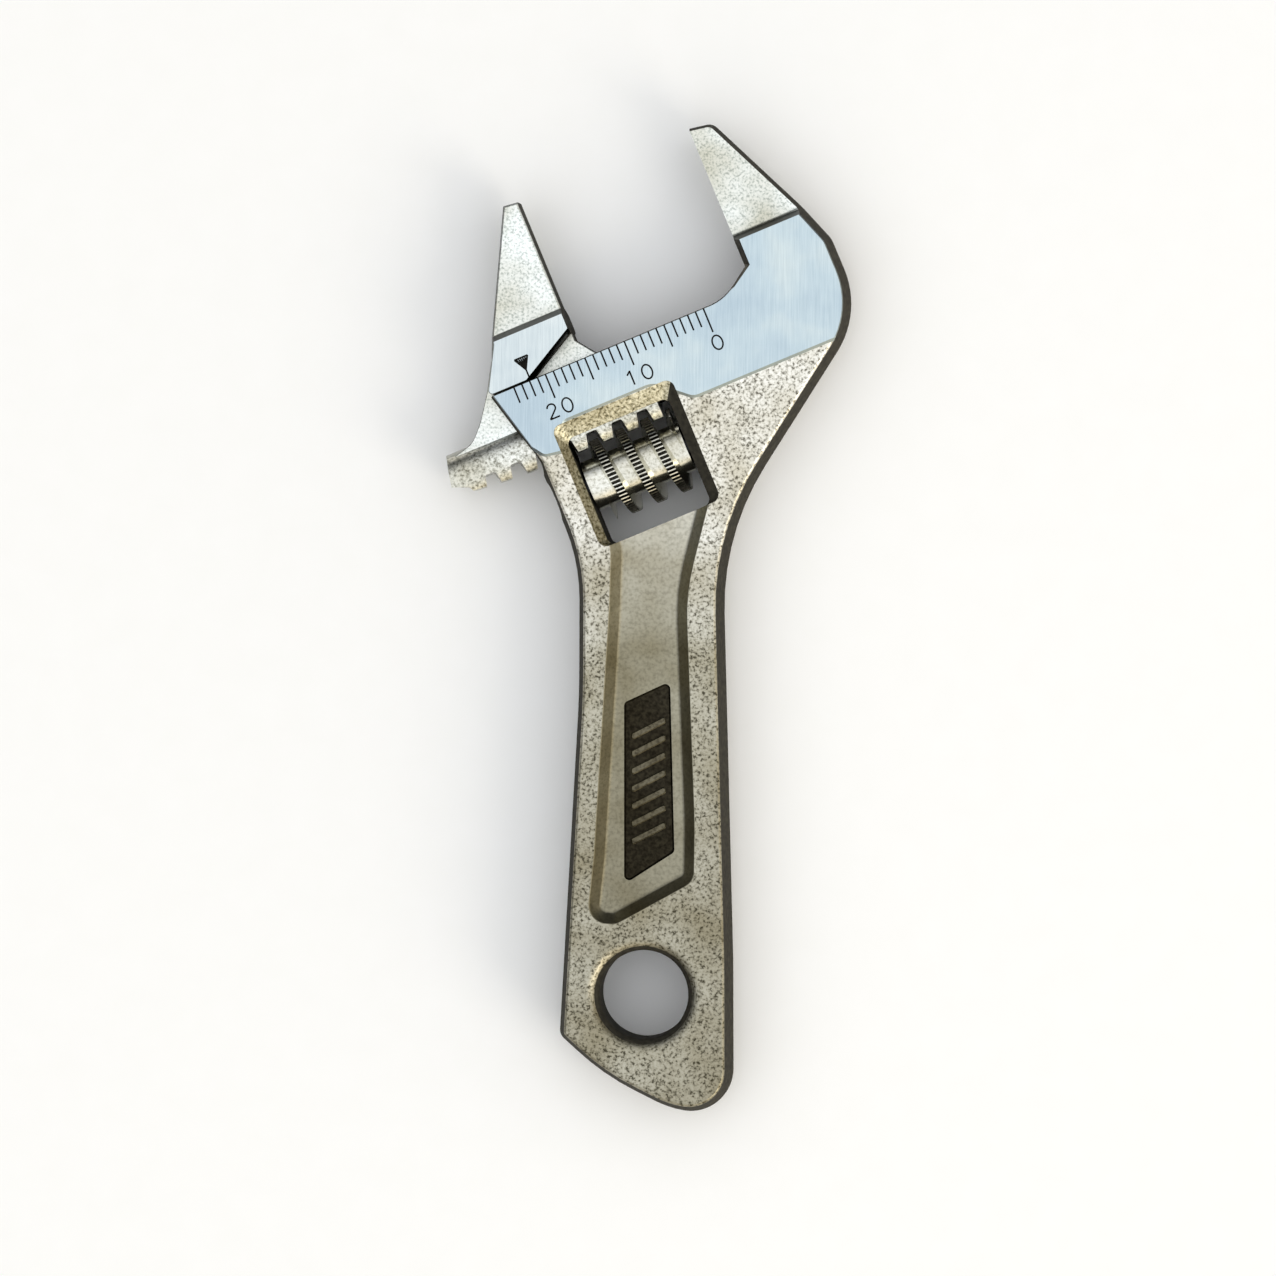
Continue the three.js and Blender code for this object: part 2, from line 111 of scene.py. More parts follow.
def rounded(corners):
    """Points round a polygon of (u, v, radius) corners, each turned to its radius."""
    points = []
    for i, (u, v, radius) in enumerate(corners):
        here = Vector((u, v))
        if not radius:
            points.append(here)
            continue
        before = (Vector(corners[i - 1][:2]) - here).normalized()
        after = (Vector(corners[(i + 1) % len(corners)][:2]) - here).normalized()
        half = before.angle(after) / 2
        centre = here + (before + after).normalized() * radius / math.sin(half)
        first = here + before * radius / math.tan(half) - centre
        last = here + after * radius / math.tan(half) - centre
        start = math.atan2(first.y, first.x)
        turn = (math.atan2(last.y, last.x) - start + math.pi) % math.tau - math.pi
        pieces = max(4, math.ceil(abs(turn) / math.radians(5)))
        for k in range(pieces + 1):
            angle = start + turn * k / pieces
            points.append(centre + radius * Vector((math.cos(angle), math.sin(angle))))
    return points


def flat_face(name, corners, height=0.0):
    """One flat face inside an outline, facing up."""
    curve = bpy.data.curves.new(name, "CURVE")
    curve.dimensions = "3D"
    points = rounded(corners)
    spline = curve.splines.new("POLY")
    spline.points.add(len(points) - 1)
    for knot, point in zip(spline.points, points):
        knot.co = (point.x, point.y, height, 1)
    spline.use_cyclic_u = True
    face = bpy.data.objects.new(name, curve)
    bpy.context.scene.collection.objects.link(face)
    only(face)
    bpy.ops.object.convert(target="MESH")
    face = bpy.context.object
    bpy.ops.object.mode_set(mode="EDIT")
    bpy.ops.mesh.select_all(action="SELECT")
    bpy.ops.mesh.edge_face_add()
    bpy.ops.object.mode_set(mode="OBJECT")
    if face.data.polygons[0].normal.z < 0:
        face.data.flip_normals()
    return face


def step_in(piece, steps):
    """Raises a face: each step leans in by the first number and goes on by the second."""
    only(piece)
    bpy.ops.object.mode_set(mode="EDIT")
    bpy.ops.mesh.select_mode(type="FACE")
    for lean, height in steps:
        bpy.ops.mesh.inset(thickness=lean, depth=height, use_even_offset=True)
    bpy.ops.object.mode_set(mode="OBJECT")


def close_up(piece):
    """Merges doubles, fills open ends and turns every face outwards."""
    only(piece)
    bpy.ops.object.mode_set(mode="EDIT")
    bpy.ops.mesh.select_all(action="SELECT")
    bpy.ops.mesh.remove_doubles(threshold=0.0001)
    bpy.ops.mesh.select_mode(type="EDGE")
    bpy.ops.mesh.select_all(action="DESELECT")
    bpy.ops.mesh.select_non_manifold()
    bpy.ops.mesh.edge_face_add()
    bpy.ops.mesh.select_all(action="SELECT")
    bpy.ops.mesh.normals_make_consistent(inside=False)
    bpy.ops.object.mode_set(mode="OBJECT")
    return piece


def pick_faces(piece, wanted):
    """Goes into edit mode with only the faces selected that are wanted."""
    only(piece)
    bpy.ops.object.mode_set(mode="EDIT")
    bpy.ops.mesh.select_mode(type="FACE")
    bpy.ops.mesh.select_all(action="DESELECT")
    bpy.ops.object.mode_set(mode="OBJECT")
    for polygon in piece.data.polygons:
        polygon.select = wanted(polygon)
    bpy.ops.object.mode_set(mode="EDIT")


def mirror(piece):
    """Adds the same on the other side of mid-thickness. Faces on the middle itself go."""
    pick_faces(piece, lambda face: abs(face.center.z) < 0.001 and abs(face.normal.z) > 0.99)
    bpy.ops.mesh.delete(type="FACE")
    bpy.ops.object.mode_set(mode="OBJECT")
    modifier = piece.modifiers.new("other_side", "MIRROR")
    modifier.use_axis = (False, False, True)
    modifier.merge_threshold = 0.0005
    bpy.ops.object.modifier_apply(modifier=modifier.name)
    return close_up(piece)


def shell(name, corners, steps, material):
    """A solid about mid-thickness, whose walls follow the steps on both sides."""
    piece = flat_face(name, corners)
    only(piece)
    bpy.ops.object.mode_set(mode="EDIT")
    bpy.ops.mesh.select_all(action="SELECT")
    step_in(piece, steps)
    piece.data.materials.append(material)
    return mirror(piece)


def block(name, corners, low, high, material, steps=()):
    """A solid from one height to another, then on by its steps the same way."""
    piece = flat_face(name, corners, low)
    only(piece)
    bpy.ops.object.mode_set(mode="EDIT")
    bpy.ops.mesh.select_all(action="SELECT")
    if high < low:
        bpy.ops.mesh.flip_normals()
    bpy.ops.mesh.extrude_region_move(TRANSFORM_OT_translate={"value": (0, 0, high - low)})
    step_in(piece, steps)
    piece.data.materials.append(material)
    return close_up(piece)


def rod(name, start, end, radius, v, material, sides=96):
    """A round bar along the slide's direction."""
    bpy.ops.mesh.primitive_cylinder_add(
        vertices=sides,
        radius=radius,
        depth=end - start,
        location=((start + end) / 2, v, 0),
        rotation=(0, math.pi / 2, 0),
    )
    piece = bpy.context.object
    piece.name = name
    only(piece)
    bpy.ops.object.transform_apply()
    piece.data.materials.append(material)
    return piece


def combine(piece, other, operation):
    """Joins or cuts two solids for good. The second one is used up."""
    only(piece)
    modifier = piece.modifiers.new("combine", "BOOLEAN")
    modifier.operation = operation
    modifier.object = other
    modifier.solver = "EXACT"
    modifier.material_mode = "TRANSFER"
    bpy.ops.object.modifier_apply(modifier=modifier.name)
    bpy.data.objects.remove(other)
    bpy.ops.object.mode_set(mode="EDIT")
    bpy.ops.mesh.select_all(action="SELECT")
    bpy.ops.mesh.remove_doubles(threshold=0.0005)
    bpy.ops.object.mode_set(mode="OBJECT")
    return piece


def cut(piece, *others):
    """Cuts the other solids out of the piece."""
    for other in others:
        combine(piece, other, "DIFFERENCE")


def join(piece, *others):
    """Joins the other solids to the piece."""
    for other in others:
        combine(piece, other, "UNION")


def linear(hex_colour):
    """An sRGB hex colour as linear RGBA."""
    channels = [int(hex_colour[i:i + 2], 16) / 255 for i in (1, 3, 5)]
    return (*(c / 12.92 if c <= 0.04045 else ((c + 0.055) / 1.055) ** 2.4 for c in channels), 1)


def new_material(name):
    """An empty material."""
    material = bpy.data.materials.new(name)
    material.use_nodes = True
    material.node_tree.nodes.clear()
    return material


def node(owner, kind, links=None, stops=None, **settings):
    """Adds a node. Links are input: (node, output); settings are inputs or properties, with _
    for a space; stops are the (position, hex colour) pairs of a colour ramp."""
    made = owner.node_tree.nodes.new(kind)
    for name, value in settings.items():
        socket = made.inputs.get(name.replace("_", " "))
        if socket is None:
            setattr(made, name, value)
        else:
            socket.default_value = value
    for name, (source, output) in (links or {}).items():
        owner.node_tree.links.new(source.outputs[output], made.inputs[name])
    if stops:
        elements = made.color_ramp.elements
        elements[0].position, elements[0].color = stops[0][0], linear(stops[0][1])
        elements[1].position, elements[1].color = stops[-1][0], linear(stops[-1][1])
        for position, colour in stops[1:-1]:
            elements.new(position).color = linear(colour)
    return made


# Satin nickel over a shot-blasted drop forging. Blasting leaves dimples about 0.3 mm across,
# which break every highlight into bright and dark specks. The colour darkens and yellows along
# the handle towards its end, and steep walls get a dark colour: painted shade.
DARKENING_START = 0.016  # metres along the handle, from where the colour starts to darken
DARKENING_END = -0.034  # to where it is darkest
CLOUD_MM = 8.0  # faint patches in the plating


def nickel_plated(name, light, middle, dark, wall, dimple_mm, depth_mm, roughness, steep=(0.2, 0.6)):
    """Plated steel: three tones of the grain, the painted shade of steep walls, and the grain's size."""
    material = new_material(name)
    place = node(material, "ShaderNodeTexCoord")
    dimples = node(
        material,
        "ShaderNodeTexNoise",
        {"Vector": (place, "Object")},
        Scale=1000 / dimple_mm,
        Detail=2.5,
        Roughness=0.6,
    )
    skin = node(
        material,
        "ShaderNodeValToRGB",
        {"Fac": (dimples, "Fac")},
        stops=[(0.34, dark), (0.48, middle), (0.62, light)],
    )
    spots = node(
        material, "ShaderNodeTexNoise", {"Vector": (place, "Object")}, Scale=1000 / CLOUD_MM, Detail=2.0
    )
    cloud = node(
        material,
        "ShaderNodeValToRGB",
        {"Fac": (spots, "Fac")},
        stops=[(0.32, "#d6d1c4"), (0.66, "#ffffff")],
    )
    clouded = node(
        material,
        "ShaderNodeMixRGB",
        {"Color1": (skin, "Color"), "Color2": (cloud, "Color")},
        Fac=1.0,
        blend_type="MULTIPLY",
    )
    # darker and yellower towards the handle's end
    along = node(material, "ShaderNodeSeparateXYZ", {"Vector": (place, "Object")})
    handle_fade = node(
        material,
        "ShaderNodeMapRange",
        {"Value": (along, "Y")},
        From_Min=DARKENING_END,
        From_Max=DARKENING_START,
    )
    handle_darkening = node(
        material,
        "ShaderNodeValToRGB",
        {"Fac": (handle_fade, "Result")},
        stops=[(0.0, "#b4b1a5"), (0.6, "#c8c6bc"), (1.0, "#ffffff")],
    )
    darkened_along_handle = node(
        material,
        "ShaderNodeMixRGB",
        {"Color1": (clouded, "Color"), "Color2": (handle_darkening, "Color")},
        Fac=1.0,
        blend_type="MULTIPLY",
    )
    facing = node(material, "ShaderNodeSeparateXYZ", {"Vector": (place, "Normal")})
    upright = node(material, "ShaderNodeMath", {0: (facing, "Z")}, operation="ABSOLUTE")
    open_face = node(
        material,
        "ShaderNodeMapRange",
        {"Value": (upright, 0)},
        From_Min=steep[0],
        From_Max=steep[1],
    )
    # steep walls take the wall colour, a painted shade
    colour = node(
        material,
        "ShaderNodeMixRGB",
        {"Fac": (open_face, "Result"), "Color2": (darkened_along_handle, "Color")},
        Color1=linear(wall),
    )
    bump = node(
        material,
        "ShaderNodeBump",
        {"Height": (dimples, "Fac")},
        Strength=1.0,
        Distance=depth_mm / 1000,
    )
    surface = node(
        material,
        "ShaderNodeBsdfPrincipled",
        {"Base Color": (colour, "Color"), "Normal": (bump, "Normal")},
        Metallic=1.0,
        Roughness=roughness,
    )
    node(material, "ShaderNodeOutputMaterial", {"Surface": (surface, "BSDF")})
    return material


BLAST_MM = 0.34
BLAST_DEPTH_MM = 0.05
BLAST_ROUGHNESS = 0.36
forged_skin = nickel_plated(
    "satin_nickel_on_blasted_forging",
    "#fffef9", "#e6e4db", "#6f6c62", "#45433b", BLAST_MM, BLAST_DEPTH_MM, BLAST_ROUGHNESS,
)
# the brow above the worm, tinted straw: a painted warm reflection
straw_painted_reflection_skin = nickel_plated(
    "forging_with_painted_straw_reflection",
    "#e4dfc8", "#bbb59b", "#625d47", "#5c5745", BLAST_MM, BLAST_DEPTH_MM, BLAST_ROUGHNESS,
)


# Plates ground on a surface grinder and buffed: fine straight scratches across the head, a
# bright and slightly blue face, and faint cloudy patches where the wheel dwelt.
SCRATCH_MM = 0.2  # coarser than the wheel's grit, so that the scratches show
PATCH_MM = 7.0


def ground_steel(name, light, middle, dark):
    """Ground steel with three tones of cloudy patches, and painted shade on its steep walls."""
    material = new_material(name)
    place = node(material, "ShaderNodeTexCoord")
    turned = node(
        material,
        "ShaderNodeMapping",
        {"Vector": (place, "Object")},
        Rotation=(0, 0, -tilt),
        Scale=(1, 0.04, 1),
    )
    scratches = node(
        material,
        "ShaderNodeTexNoise",
        {"Vector": (turned, "Vector")},
        Scale=1000 / SCRATCH_MM,
        Detail=2.0,
    )
    patches = node(
        material, "ShaderNodeTexNoise", {"Vector": (place, "Object")}, Scale=1000 / PATCH_MM, Detail=3.0
    )
    patch_colour = node(
        material,
        "ShaderNodeValToRGB",
        {"Fac": (patches, "Fac")},
        stops=[(0.32, dark), (0.5, middle), (0.68, light)],
    )
    streaks = node(
        material,
        "ShaderNodeValToRGB",
        {"Fac": (scratches, "Fac")},
        stops=[(0.3, "#f0f2f4"), (0.7, "#ffffff")],
    )
    face = node(
        material,
        "ShaderNodeMixRGB",
        {"Color1": (patch_colour, "Color"), "Color2": (streaks, "Color")},
        Fac=1.0,
        blend_type="MULTIPLY",
    )
    facing = node(material, "ShaderNodeSeparateXYZ", {"Vector": (place, "Normal")})
    upright = node(material, "ShaderNodeMath", {0: (facing, "Z")}, operation="ABSOLUTE")
    open_face = node(
        material, "ShaderNodeMapRange", {"Value": (upright, 0)}, From_Min=0.5, From_Max=0.95
    )
    # steep side walls get a near-black colour: painted shade
    colour = node(
        material,
        "ShaderNodeMixRGB",
        {"Fac": (open_face, "Result"), "Color2": (face, "Color")},
        Color1=linear("#33322e"),
    )
    bump = node(
        material, "ShaderNodeBump", {"Height": (scratches, "Fac")}, Strength=0.5, Distance=0.000004
    )
    surface = node(
        material,
        "ShaderNodeBsdfPrincipled",
        {"Base Color": (colour, "Color"), "Normal": (bump, "Normal")},
        Metallic=1.0,
        Roughness=0.24,
    )
    node(material, "ShaderNodeOutputMaterial", {"Surface": (surface, "BSDF")})
    return material


plate_steel = ground_steel("surface_ground_and_buffed_steel", "#ced9da", "#c1d0d6", "#b7c7d0")

# Machined surfaces never ground bright: the gap's, the slot's and the window's walls are smooth,
# coloured dark as painted shade; the noses are blasted fine and bright, the recess smooth forging.
milled_steel_painted_dark = nickel_plated(
    "nickel_on_milled_steel_painted_dark", "#6f6d66", "#5f5d57", "#4c4a45", "#2c2b28", 0.9, 0.006, 0.34
)
blasted_nose = nickel_plated(
    "nickel_on_fine_blasted_steel",
    "#fafdfb", "#ebf0ed", "#bcc3bf", "#2f2f2c", 0.3, 0.014, 0.34, steep=(0.35, 0.9),
)
recess_skin = nickel_plated(
    "satin_nickel_on_smooth_forging",
    "#d0cdc0", "#c6c3b6", "#b4b1a4", "#aaa79a", 0.4, 0.008, 0.34,
)


def arc_steps(radius, start_degrees, pieces=6):
    """Steps that round a wall off into a flat face."""
    angles = [math.radians(start_degrees + (90 - start_degrees) * k / pieces) for k in range(pieces + 1)]
    return [
        (radius * (math.cos(a) - math.cos(b)), radius * (math.sin(b) - math.sin(a)))
        for a, b in zip(angles, angles[1:])
    ]


forging_corners = [
    (-34.05, 1, 0),
    (-31.35, -9.4, 1),
    neck(-7.75, -32.1, 22),
    neck(-7.8, -47.7, 120),
    foot(-10.1, -4.9, 1.4),
    foot(-5, -9.6, 30),
    foot(2.6, -13.4, 12),
    foot(10.35, -14.9, 5),
    foot(10.3, 4, 150),
    neck(9.04, -28.7, 31),
    (10.5, -7.4, HEAD_BACK_ROUND),
    (10.45, 1.9, 3),
    (8.7, 6.7, 30),
    (2.75, 19.75, 1.4),
    (-1, 20.4, 0),
    (-1, 4.9, 0),
    (-8, 1, 0),
]
DRAFT = 0.75  # how far the walls lean in from the parting line to the face
LAND = 0.3  # upright band left at the parting line by trimming
EDGE_ROUND = 0.45
rise = half_skin - LAND - EDGE_ROUND * (1 - math.sin(math.radians(10)))
body = shell(
    "wrench_body",
    forging_corners,
    [(0, LAND), (DRAFT, rise), *arc_steps(EDGE_ROUND, 10)],
    forged_skin,
)
plates = shell(
    "plates",
    forging_corners,
    [(0, LAND), (DRAFT, half_head - LAND - 0.12), (0.12, 0.12)],
    plate_steel,
)
# where the plates stand proud: above this line, with a sloping edge
plate_region = mirror(
    block(
        "plate_region",
        [
            (-OUT, -6.6, 0),
            (-31.9, -6.6, 0.6),
            (-30.2, -9.0, 1.2),
            (-27.7, -9.4, 0.8),
            (-26.7, -6.1, 1.2),
            (-15.2, -6.1, 2.4),
            (-11.4, -9.4, 2),
            (OUT, -9.4, 0),
            (OUT, OUT, 0),
            (-OUT, OUT, 0),
        ],
        3.4,
        half_head - 0.28,
        plate_steel,
        [(0.35, 0.28), (0, 1)],
    )
)
combine(plates, plate_region, "INTERSECT")
join(body, plates)


def along_slide(name, profile, low, high, material):
    """A solid whose (v, z) profile runs along the slide, on both sides of mid-thickness."""
    piece = block(name, profile, low, high, material)
    piece.matrix_world = Matrix(((0, 0, 1, 0), (1, 0, 0, 0), (0, 1, 0, 0), (0, 0, 0, 1)))
    only(piece)
    bpy.ops.object.transform_apply()
    return mirror(piece)


def nose_thinning():
    """What thins the noses, with a hollow step down from the plates."""
    profile = [
        (NOSE_STEP_V, half_head + 1, 0),
        (NOSE_STEP_V, half_head - 0.1, 0),
        (NOSE_STEP_V + 0.75, NOSE_HALF, 0.5),
        (OUT, NOSE_HALF, 0),
        (OUT, half_head + 1, 0),
    ]
    return along_slide("nose_thinning", profile, -OUT, OUT, blasted_nose)


jaw_gap = block(
    "jaw_gap",
    [(0, 2.6, 0), (0, OUT, 0), (-OUT, OUT, 0), (-OUT, 0, 0), (-3.7, 0, 6)],
    -THROUGH,
    THROUGH,
    milled_steel_painted_dark,
)
# a chamfer on the fixed face's edge, widest at the step and run out along the throat
face_chamfer = mirror(
    block(
        "face_chamfer",
        [(-5, 0.03, 0), (-4.2, 0.08, 0), (-2, 0.88, 0), (0.64, 2.56, 0), (0.64, 7, 0), (-5, 7, 0)],
        half_head + 0.3,
        half_head,
        milled_steel_painted_dark,
        [(0.62, 0.9)],
    )
)
# the edges round the gap broken with a file
gap_edge = mirror(
    block(
        "gap_edge",
        [(0.12, 2.5, 0), (0.12, OUT, 0), (-OUT, OUT, 0), (-OUT, -0.12, 0), (-3.7, -0.12, 6)],
        half_head + 0.3,
        half_head,
        milled_steel_painted_dark,
        [(0.14, 0.14)],
    )
)
slot = block(
    "slot",
    [(-OUT, SLIDER_V, 0), (2.4, SLIDER_V, 0), (2.4, 0.6, 0.5), (0, 2.75, 0), (-OUT, 2.75, 0)],
    -SLOT_HALF,
    SLOT_HALF,
    milled_steel_painted_dark,
)
bore = rod("bore", -OUT, 4.6, BORE_RADIUS, SLIDER_V, milled_steel_painted_dark)
# the bore's blind end is flat below, like the slider, and stays inside the head's back
bore_end = rod("bore_end", 4.5, 6.25, BORE_RADIUS - 0.1, SLIDER_V, milled_steel_painted_dark)
below_slider = [(-OUT, -9.84, 0), (-OUT, -OUT, 0), (OUT, -OUT, 0), (OUT, -9.84, 0)]
cut(bore_end, block("below_slider", below_slider, -THROUGH, THROUGH, milled_steel_painted_dark))
window_corners = [
    (WINDOW_LEFT, WINDOW_BOTTOM, WINDOW_CORNER),
    (WINDOW_RIGHT, WINDOW_BOTTOM, WINDOW_CORNER),
    (WINDOW_RIGHT, WINDOW_TOP, WINDOW_CORNER),
    (WINDOW_LEFT, WINDOW_TOP, WINDOW_CORNER),
]
window = block("window", window_corners, -THROUGH, THROUGH, milled_steel_painted_dark)
cut(body, jaw_gap, nose_thinning(), face_chamfer, gap_edge, slot, bore, bore_end, window)

# the forged window's mouth flares: a wide brow above the worm, narrower slopes at its sides
FLARE_DEPTH = 0.95
FLARE_WIDTH = 15.2
FLARE_HEIGHT = 15.3
flare_growth = (
    FLARE_WIDTH / (WINDOW_RIGHT - WINDOW_LEFT),
    FLARE_HEIGHT / (WINDOW_TOP - WINDOW_BOTTOM),
    1,
)
flare = block("flare", window_corners, 3, half_skin - FLARE_DEPTH, straw_painted_reflection_skin)
pick_faces(flare, lambda face: face.normal.z > 0.99)
bpy.ops.mesh.extrude_region_move(TRANSFORM_OT_translate={"value": (0, 0, FLARE_DEPTH)})
bpy.ops.transform.resize(value=flare_growth)
bpy.ops.transform.translate(value=(0.15, 0.95, 0))
bpy.ops.mesh.extrude_region_move(TRANSFORM_OT_translate={"value": (0, 0, 0.4)})
bpy.ops.object.mode_set(mode="OBJECT")
cut(body, mirror(close_up(flare)))

# the handle's long recess: rounded lip, sloping wall, filleted floor
recess_mouth = [
    (-26.9, -12, 0),
    (-26.9, WINDOW_BOTTOM, 8),
    neck(-4.0, -37.5, 30),
    foot(-5.8, 16, 40),
    foot(-6.65, 8.5, 2.2),
    foot(-3.2, 8.25, 2.0),
    foot(6.0, 13.3, 2.0),
    foot(6.1, 20, 60),
    neck(5.1, -35.7, 25),
    (-14.5, WINDOW_BOTTOM, 0),
    (-14.5, -12, 0),
]
lip_steps = [(0.05, 0.02), (0.1, 0.08), (0.1, 0.16)]
fillet_steps = [(0.15, 0.12), (0.2, 0.07), (0.1, 0.02)]
recess_steps = [*lip_steps, (0.9, 0.98), *fillet_steps]
recess_depth = sum(height for lean, height in recess_steps)
recess = block("recess", recess_mouth, 7, half_skin + 0.001, recess_skin, recess_steps)
cut(body, mirror(recess))

# Inside it is a shallow plaque, with plain raised bars where a maker would put a mark. Old oil
# keeps its floor dark, and the bars' tops are rubbed a little brighter.
floor = half_skin - recess_depth
plaque_steel = nickel_plated(
    "oiled_floor_of_the_plaque", "#4a463c", "#3b3730", "#2c2922", "#23211c", 0.5, 0.01, 0.34
)
bar_steel = nickel_plated(
    "nickel_on_coined_steel", "#948f81", "#827d70", "#645f54", "#423f33", 0.4, 0.01, 0.3
)
plaque = block(
    "plaque",
    [neck(-2.3, -48.5, 0.6), foot(-2.3, 12.9, 0.6), foot(3.6, 16.7, 0.6), neck(3.1, -46, 0.6)],
    floor + 0.05,
    floor - 0.02,
    plaque_steel,
    [(0.1, 0.1), (0.12, 0.13)],
)
cut(body, mirror(plaque))
BARS = 7
BAR_PITCH = 2.05
BAR_WIDTH = 0.9
BAR_RISE = 2.1  # from its left end to its right end
FIRST_BAR = 17.4  # above the hanging hole
for k in range(BARS):
    y = FIRST_BAR + BAR_PITCH * k
    bar = block(
        "bar",
        [
            foot(-1.5, y, 0.3),
            foot(2.6, y + BAR_RISE, 0.3),
            foot(2.6, y + BAR_RISE + BAR_WIDTH, 0.3),
            foot(-1.5, y + BAR_WIDTH, 0.3),
        ],
        floor - 0.6,
        floor - 0.14,
        bar_steel,
        [(0.14, 0.12)],
    )
    join(body, mirror(bar))

# the hanging hole, its rim rounded on both faces
HOLE_RADIUS = 5.2
RIM_ROUND = 1.85
RIM_START = half_skin + 0.005
hole_u, hole_v, _ = foot(0, 0)
bpy.ops.mesh.primitive_circle_add(
    vertices=96,
    radius=HOLE_RADIUS + RIM_ROUND,
    fill_type="NGON",
    location=(hole_u, hole_v, half_head + 1),
)
hole = bpy.context.object
hole.name = "hole"
only(hole)
bpy.ops.object.transform_apply()
bpy.ops.object.mode_set(mode="EDIT")
bpy.ops.mesh.select_all(action="SELECT")
if hole.data.polygons[0].normal.z > 0:
    bpy.ops.mesh.flip_normals()
step_in(
    hole,
    [
        (0, half_head + 1 - RIM_START),
        *[(height, lean) for lean, height in arc_steps(RIM_ROUND, 0, 8)],
        (0, RIM_START - RIM_ROUND),
    ],
)
hole.data.materials.append(forged_skin)
cut(body, mirror(hole))

# the pin's holes: a wide one from the left for its head, a narrow one for its shaft
cut(
    body,
    rod("head_hole", -OUT, -27.95, 2.3, WORM_V, milled_steel_painted_dark),
    rod("shaft_hole", -28.2, -10.4, PIN_BORE, WORM_V, milled_steel_painted_dark),
)

# The scale is stamped in fine strokes and filled with black lacquer, which looks dull and even.
STROKE = 0.2
engraving_black = new_material("black_lacquer_in_stamping")
lacquer_place = node(engraving_black, "ShaderNodeTexCoord")
lacquer_grain = node(
    engraving_black, "ShaderNodeTexNoise", {"Vector": (lacquer_place, "Object")}, Scale=1000 / 0.3
)
lacquer_tone = node(
    engraving_black,
    "ShaderNodeValToRGB",
    {"Fac": (lacquer_grain, "Fac")},
    stops=[(0.3, "#0e0d0b"), (0.7, "#1d1c18")],
)
lacquer = node(
    engraving_black,
    "ShaderNodeBsdfPrincipled",
    {"Base Color": (lacquer_tone, "Color")},
    Roughness=0.7,
    Specular_IOR_Level=0.08,
)
node(engraving_black, "ShaderNodeOutputMaterial", {"Surface": (lacquer, "BSDF")})


def engrave(piece, strokes, width, height):
    """Cuts strokes, each a list of (u, v) points, half a round tool deep into a face."""
    curve = bpy.data.curves.new("strokes", "CURVE")
    curve.dimensions = "3D"
    curve.bevel_depth = width / 2
    curve.bevel_resolution = 1
    curve.use_fill_caps = True
    for points in strokes:
        spline = curve.splines.new("POLY")
        spline.points.add(len(points) - 1)
        for knot, (u, v) in zip(spline.points, points):
            knot.co = (u, v, height, 1)
    tool = bpy.data.objects.new("strokes", curve)
    bpy.context.scene.collection.objects.link(tool)
    only(tool)
    bpy.ops.object.convert(target="MESH")
    tool = bpy.context.object
    tool.data.materials.clear()
    tool.data.materials.append(engraving_black)
    only(piece)
    modifier = piece.modifiers.new("engrave", "BOOLEAN")
    modifier.object = tool
    modifier.solver = "EXACT"
    modifier.material_mode = "TRANSFER"
    modifier.use_self = True
    bpy.ops.object.modifier_apply(modifier=modifier.name)
    bpy.data.objects.remove(tool)


def numeral_strokes(digit, u, v):
    """The strokes of a 0, 1 or 2 that is 1.7 mm high, about its middle."""
    if digit == "0":
        ring = [(u + 0.6 * math.cos(a), v + 0.85 * math.sin(a))
                for a in (math.tau * k / 20 for k in range(21))]
        return [ring]
    if digit == "1":
        return [[(u - 0.45, v + 0.45), (u, v + 0.85)], [(u, v + 0.9), (u, v - 0.85)]]
    hook = [(u + 0.5 * math.cos(a), v + 0.37 + 0.48 * math.sin(a))
            for a in (math.radians(170 - 25 * k) for k in range(9))]
    return [hook + [(u - 0.58, v - 0.85)], [(u - 0.6, v - 0.85), (u + 0.62, v - 0.85)]]


SCALE_ZERO = -6.33
SCALE_LINES = 25  # one for each millimetre
NUMERAL_V = -4.35
strokes = []
for k in range(SCALE_LINES):
    length = 3.05 if k % 10 == 0 else 2.8 if k % 5 == 0 else 2.0
    strokes.append([(SCALE_ZERO - k, 0.3), (SCALE_ZERO - k, -length)])
for digit, u in (("0", -6.3), ("1", -17.1), ("0", -15.2), ("2", -27.2), ("0", -25.3)):
    strokes += numeral_strokes(digit, u, NUMERAL_V)
engrave(body, strokes, STROKE, half_head)


# Painted shade for steep walls, the hanging hole's rim and the slope right of the window: dull, dark,
# mottled.
painted_wall_shade = new_material("painted_shade_on_steep_walls")
shade_place = node(painted_wall_shade, "ShaderNodeTexCoord")
shade_mottle = node(
    painted_wall_shade,
    "ShaderNodeTexNoise",
    {"Vector": (shade_place, "Object")},
    Scale=1000 / 0.6,
    Detail=3.0,
)
shade_tone = node(
    painted_wall_shade,
    "ShaderNodeValToRGB",
    {"Fac": (shade_mottle, "Fac")},
    stops=[(0.3, "#2a2823"), (0.7, "#403d34")],
)
shade_shader = node(
    painted_wall_shade,
    "ShaderNodeBsdfPrincipled",
    {"Base Color": (shade_tone, "Color")},
    Roughness=0.8,
    Specular_IOR_Level=0.1,
)
node(painted_wall_shade, "ShaderNodeOutputMaterial", {"Surface": (shade_shader, "BSDF")})


def paint_wall_shade(piece, wanted):
    """Gives the faces that are wanted the dark painted shade."""
    piece.data.materials.append(painted_wall_shade)
    for face in piece.data.polygons:
        if wanted(face):
            face.material_index = len(piece.data.materials) - 1


